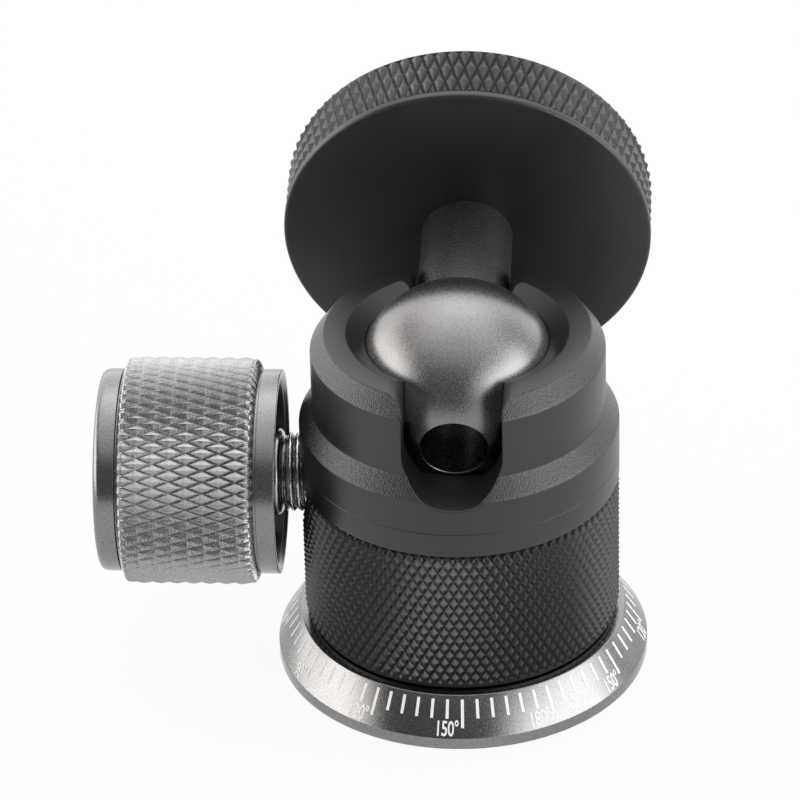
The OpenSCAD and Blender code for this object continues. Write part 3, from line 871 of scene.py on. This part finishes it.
@dataclass
class Clamp:
    """The clamp screw with its thread and shoulder, and the knob on it."""

    shank_r: float = 3.5
    shoulder_r: float = 4.4
    shoulder_x: float = 20.62
    knurl_r: float = 11.55
    inner_r: float = 10.4
    outer_r: float = 10.3
    inner_x: float = 18.12
    outer_x: float = 36.38
    core_r: float = 9.5
    core_x: float = 18.47
    cap_r: float = 8.2
    cap_x: float = 34.48

    def build(self) -> None:
        """Builds and dresses the screw and the knob."""
        self.screw()
        self.sleeve()
        self.knurl()
        self.core()

    def screw(self) -> None:
        """Makes the screw's thread and its shouldered shank."""
        zone = ReliefZone("clamp_thread", Axis.CLAMP, Relief.THREAD, radius=4.0, start=11.5, end=17.75,
                          depth=0.42, pitch=0.75, teeth=1, root=3.0, rounding=0.35, per_tooth=6,
                          per_pitch=12, crest=0.72, swell=0.8)
        finished(zone.piece(DARK_STEEL, smooth=True), "knob", "black_steel")
        outline = rounded([
            (0, 14.4, 0), (3.3, 14.4, 0), (3.3, 17.85, 0), (4.05, 17.95, 0.1), (self.shoulder_r, 18.25, 0.2),
            (self.shoulder_r, self.shoulder_x, 0), (self.shank_r, self.shoulder_x, 0),
            (self.shank_r, 29.5, 0.1), (0, 29.5, 0)])
        finished(new_object("clamp_shank", lathe(outline, 128), Axis.CLAMP, DARK_STEEL), "knob",
                 "black_steel", "clamp_screw")

    def sleeve(self) -> None:
        """Makes the knob's smooth collars and the tube under its knurl."""
        under = self.knurl_r - 0.8
        outline = rounded([
            (self.core_r, self.core_x, 0), (self.core_r + 0.35, self.inner_x, 0.06),
            (self.inner_r, self.inner_x, 0.08), (self.inner_r, 20.02, 0.08), (10.1, 20.05, 0),
            (10.1, 20.4, 0), (under, 20.6, 0), (under, 33.7, 0), (10.05, 33.95, 0), (10.05, 34.12, 0),
            (self.outer_r, 34.2, 0.05), (self.outer_r, self.outer_x, 0.9), (self.cap_r, self.outer_x, 0.1),
            (self.cap_r, self.cap_x, 0), (self.core_r, self.cap_x, 0)], steps=6)
        finished(new_object("knob_collars", lathe(outline, 256), Axis.CLAMP, GREY_KNOB), "knob",
                 "grey_anodised", "knob_sleeve")

    def knurl(self) -> None:
        """Makes the knob's coarse knurled zone."""
        zone = ReliefZone("knob_knurl", Axis.CLAMP, Relief.DIAMOND, radius=self.knurl_r, start=20.27,
                          end=34.0, depth=0.42, pitch=3.35, teeth=60, root=10.2, rounding=0.9,
                          per_tooth=8, per_pitch=8, crest=1.0, swell=0.78)
        finished(zone.piece(GREY_KNURL), "knob", "grey_anodised")

    def core(self) -> None:
        """Makes the black core with its recess round the screw's shoulder, and the dished end cap."""
        recess_r = self.core_r - 0.5
        outline = rounded([
            (self.shank_r, self.shoulder_x, 0), (recess_r, self.shoulder_x, 0.3),
            (recess_r, self.core_x, 0.08), (self.core_r, self.core_x, 0.05), (self.core_r, self.cap_x, 0),
            (2.81, self.cap_x, 0), (2.81, 30.98, 0), (1.5, 30.98, 0), (1.5, 29.52, 0),
            (self.shank_r, 29.52, 0)])
        finished(new_object("knob_core_turned", lathe(outline, 192), Axis.CLAMP, BLACK), "knob",
                 "black_anodised", "knob_core")
        outline = rounded([(0, self.cap_x, 0), (self.cap_r, self.cap_x, 0), (self.cap_r, 36.18, 0.1),
                           (7.6, 36.18, 0.12), (7.0, 35.58, 0.2), (0, 35.58, 0)])
        finished(new_object("knob_cap_turned", lathe(outline, 192), Axis.CLAMP, BLACK), "knob",
                 "black_anodised", "knob_end_cap")


@dataclass
class Ball:
    """The grey ball with the bore opposite its stem."""

    ball_r: float = 10.35
    bore_r: float = 3.4
    mouth_ease: float = 0.06

    def build(self) -> None:
        """Builds and dresses the ball."""
        mouth_r = self.bore_r + self.mouth_ease
        mouth = math.sqrt(self.ball_r ** 2 - mouth_r ** 2)
        start, end = math.atan2(mouth_r, -mouth), math.atan2(STEM_R, STEM_SEAT)
        arc = [(self.ball_r * math.sin(a), self.ball_r * math.cos(a)) for a in
               (start + (end - start) * k / 96 for k in range(97))]
        outline = ([(BOLT_R, 2.0), (self.bore_r, 2.0), (self.bore_r, -mouth + self.mouth_ease)] + arc
                   + [(SOCKET_R, STEM_SEAT), (SOCKET_R, STEM_SOCKET), (BOLT_R, STEM_SOCKET)])
        finished(new_object("ball_turned", lathe(outline, 256), Axis.BALL, GREY_BALL), "ball",
                 "grey_anodised", "ball")


@dataclass
class Platform:
    """The stem and the round platform with its knurled rim, pad and camera stud."""

    under: float = 21.65
    top: float = 29.0
    spigot_r: float = 3.6
    spigot_h: float = 2.5
    stud_r: float = 2.6
    stud_depth: float = 4.1
    pocket_r: float = 17.4
    rim_r: float = 18.95
    edge_r: float = 0.7
    pad_z: float = 28.2
    pad_top: float = 29.3

    def build(self) -> None:
        """Builds and dresses the platform's pieces."""
        spigot, bolt_end = self.under + self.spigot_h, 17.4
        outline = rounded([
            (BOLT_R, STEM_SOCKET, 0), (SOCKET_R, STEM_SOCKET, 0), (SOCKET_R, STEM_SEAT, 0),
            (STEM_R, STEM_SEAT, 0.12), (STEM_R, self.under, 0), (self.spigot_r, self.under, 0),
            (self.spigot_r, spigot, 0), (0, spigot, 0), (0, bolt_end, 0), (BOLT_R, bolt_end, 0)])
        finished(new_object("stem_turned", lathe(outline, 160), Axis.BALL, BLACK_BLAST), "platform",
                 "black_anodised", "stem")
        self.disc()
        self.rim()
        self.pad()
        self.stud()

    def disc(self) -> None:
        """Makes the disc with its rounded lower edge and the pocket for the pad."""
        spigot, floor, inner_r = self.under + self.spigot_h, self.top - self.stud_depth, 18.4
        outline = rounded([
            (self.spigot_r, self.under, 0), (self.rim_r, self.under, self.edge_r),
            (self.rim_r, self.under + 0.75, 0), (inner_r, self.under + 1.0, 0), (inner_r, self.top - 0.3, 0),
            (18.65, self.top, 0.08), (self.pocket_r, self.top, 0.06), (self.pocket_r, self.pad_z, 0),
            (self.stud_r, self.pad_z, 0), (self.stud_r, floor, 0), (0, floor, 0), (0, spigot, 0),
            (self.spigot_r, spigot, 0)], steps=8)
        finished(new_object("platform_turned", lathe(outline, 320), Axis.BALL, BLACK), "platform",
                 "black_anodised", "platform_disc")

    def rim(self) -> None:
        """Makes the knurled rim."""
        zone = ReliefZone("platform_rim", Axis.BALL, Relief.DIAMOND, radius=self.rim_r,
                          start=self.under + self.edge_r, end=self.top - 0.05, depth=0.46, pitch=4.06,
                          teeth=92, root=18.0, rounding=0.3, per_tooth=8, per_pitch=8, crest=0.95,
                          swell=0.85)
        finished(zone.piece(BLACK_KNURL), "platform", "black_anodised")

    def pad(self) -> None:
        """Makes the ribbed rubber pad."""
        low, high = self.pad_z, self.pad_top
        hole_r, outer_r = 4.4, self.pocket_r
        outline: list[tuple[float, ...]] = [(hole_r, low, 0), (outer_r, low, 0), (outer_r, high, 0.15)]
        for k in range(12):
            r = outer_r - 1 - k
            outline += [(r + 0.15, high, 0.05), (r, high - 0.2, 0), (r - 0.15, high, 0.05)]
        outline.append((hole_r, high, 0.15))
        finished(new_object("pad_ribbed", lathe(rounded(outline), 192), Axis.BALL, RUBBER), "platform",
                 "rubber", "platform_pad")

    def stud(self) -> None:
        """Makes the threaded camera stud."""
        zone = ReliefZone("camera_stud_thread", Axis.BALL, Relief.THREAD, radius=3.175,
                          start=self.pad_top + 0.3, end=self.pad_top + 4.95, depth=0.62, pitch=1.27,
                          teeth=1, root=2.2, rounding=0.5, per_pitch=8, crest=0.9)
        finished(zone.piece(BRIGHT_STEEL, smooth=True), "platform", "bright_steel")
        low, high = self.top - self.stud_depth, self.pad_top + 5.2
        outline = rounded([(0, low, 0), (self.stud_r, low, 0), (self.stud_r, high - 0.5, 0),
                           (2.2, high, 0.15), (0, high, 0)])
        finished(new_object("camera_stud_core", lathe(outline, 96), Axis.BALL, BRIGHT_STEEL), "platform",
                 "bright_steel", "camera_stud")


@dataclass
class Carried:
    """The CAD nodes that keep their own shape and get a finish."""

    def dress(self) -> None:
        """Gives each remaining node its finish."""
        finishes = {"thread_insert": BRASS, "reducer_bush": BRIGHT_STEEL, "glide_washer": POLYMER,
                    "friction_washer": POLYMER, "pan_retainer": BRIGHT_STEEL, "retainer_screws": DARK_STEEL,
                    "bearing_plate": BLACK, "spring_plate": BRIGHT_STEEL, "disc_springs": BRIGHT_STEEL,
                    "ball_cup": POLYMER, "clamp_pusher": BRASS, "knob_fixing_screw": DARK_STEEL,
                    "ball_bolt": DARK_STEEL, "lock_washer": BRIGHT_STEEL}
        for name, finish in finishes.items():
            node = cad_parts[name]
            for slot in node.material_slots:
                slot.material = finish.material()
            log.info("%s: CAD node, %s", name, finish.name)


@dataclass
class Studio:
    """The camera, the floor and the light of the room."""

    lens: float = 239.5
    distance: float = 0.53748
    elevation: float = 32.925
    azimuth: float = 3.25
    roll: float = 1.107
    pan: float = 0.011022
    tilt: float = 0.007347
    front_level: float = 0.2
    left_level: float = 3.9
    left_edge: tuple[float, float] = (0.66, 0.94)
    right_level: float = 4.1
    right_edge: tuple[float, float] = (0.24, 0.76)
    side_fade: tuple[float, float] = (0.33, 0.75)
    top_level: float = 1.7
    top_edge: tuple[float, float] = (0.55, 0.95)
    back_level: float = 1.6
    back_edge: tuple[float, float] = (0.15, 0.75)
    side_cut: tuple[float, float] = (-0.1, 0.45)
    top_cut: tuple[float, float] = (-0.45, 0.3)
    left_drop: float = 0.35
    fade_share: float = 0.9
    top_share: float = 0.5
    aim_z: float = 0.025
    floor_r: float = 0.4
    floor_tone: float = 0.7
    floor_glow: float = 0.94

    def build(self) -> None:
        """Sets up everything round the object."""
        self.camera()
        self.floor()
        self.world()
        bpy.context.scene.view_settings.view_transform = "Standard"

    def camera(self) -> None:
        """Places the camera where the photograph was taken."""
        e = math.radians(self.elevation)
        back = Vector((0, -math.cos(e), math.sin(e)))
        place = Vector((0, 0, self.aim_z)) + back * self.distance
        forward, right = -back, Vector((1, 0, 0))
        up = right.cross(forward)
        turn = Matrix.Rotation(self.pan, 3, up)
        forward, right = turn @ forward, turn @ right
        turn = Matrix.Rotation(self.tilt, 3, right)
        forward, up = turn @ forward, turn @ up
        turn = Matrix.Rotation(math.radians(self.roll), 3, forward)
        right, up = turn @ right, turn @ up
        rotation = Matrix((right, up, -forward)).transposed()
        swing = Matrix.Rotation(math.radians(self.azimuth), 4, "Z")
        data = bpy.data.cameras.new("camera")
        data.lens, data.sensor_width = self.lens, 36.0
        data.clip_start, data.clip_end = 0.01, 20.0
        made = linked("camera", data)
        made.matrix_world = swing @ Matrix.Translation(place) @ rotation.to_4x4()
        bpy.context.scene.camera = made

    def floor(self) -> None:
        """Makes the pale floor, which the camera and the glossy faces see as nearly white."""
        work = bmesh.new()
        bmesh.ops.create_circle(work, cap_ends=True, radius=self.floor_r, segments=96)
        mesh = bpy.data.meshes.new("floor")
        work.to_mesh(mesh)
        work.free()
        material = bpy.data.materials.new("floor_white")
        tree = blank_tree(material)
        paint = tree.node("ShaderNodeBsdfDiffuse", {}, {"Color": (self.floor_tone,) * 3 + (1.0,)})
        glow = tree.node("ShaderNodeEmission", {}, {"Color": (1, 1, 1, 1), "Strength": 1.0})
        shown = (tree.node("ShaderNodeLightPath", out="Is Camera Ray")
                 + tree.node("ShaderNodeLightPath", out="Is Glossy Ray")).apply("MINIMUM", 1.0)
        mixed = tree.node("ShaderNodeMixShader", {}, {0: shown * self.floor_glow, 1: paint, 2: glow})
        tree.node("ShaderNodeOutputMaterial", {}, {"Surface": mixed})
        mesh.materials.append(material)
        made = linked("floor", mesh)
        made.location.z = -0.0002
        made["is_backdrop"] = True

    def world(self) -> None:
        """Lights the scene from a room: soft light left, right, above and at the back, dim at the front."""
        world = bpy.data.worlds.new("room")
        bpy.context.scene.world = world
        tree = blank_tree(world)
        x, y, z = tree.axes(tree.node("ShaderNodeTexCoord", out="Generated"))
        back, aside = y.band(*self.back_edge), y.band(*self.side_cut)
        left = (0.0 - x).band(*self.left_edge) * self.left_level * (1.0 - aside * self.left_drop)
        right = x.band(*self.right_edge) * self.right_level * (1.0 - aside)
        forward = y.band(*self.top_cut) * self.top_share + (1.0 - self.top_share)
        above = z.band(*self.top_edge) * self.top_level * forward
        sides = (left + right) * (1.0 - z.band(*self.side_fade) * self.fade_share)
        level = sides + above + back * self.back_level + self.front_level
        tint = tree.mix(x.band(-0.6, 0.6), (1.0, 0.975, 0.94, 1.0), (0.985, 0.99, 1.0, 1.0))
        shade = tree.node("ShaderNodeBackground", {}, {"Color": tint, "Strength": level})
        plain = tree.node("ShaderNodeBackground", {}, {"Color": (1, 1, 1, 1), "Strength": 1.0})
        path = tree.node("ShaderNodeLightPath", out="Is Camera Ray")
        mixed = tree.node("ShaderNodeMixShader", {}, {0: path, 1: shade, 2: plain})
        tree.node("ShaderNodeOutputWorld", {}, {"Surface": mixed})


def corners() -> list[list[float]]:
    """Returns the shown object's lowest and highest corners as plain lists."""
    return [[float(c) for c in corner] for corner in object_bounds()]


def main() -> None:
    """Builds the head piece by piece."""
    logging.basicConfig(level=logging.INFO, format="%(name)s %(message)s")
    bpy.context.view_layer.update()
    Studio().build()
    for part in (Base(), Housing(), Clamp(), Ball(), Platform()):
        part.build()
        log.info("%s is done", type(part).__name__)
    Carried().dress()


if __name__ == "__main__":
    main()
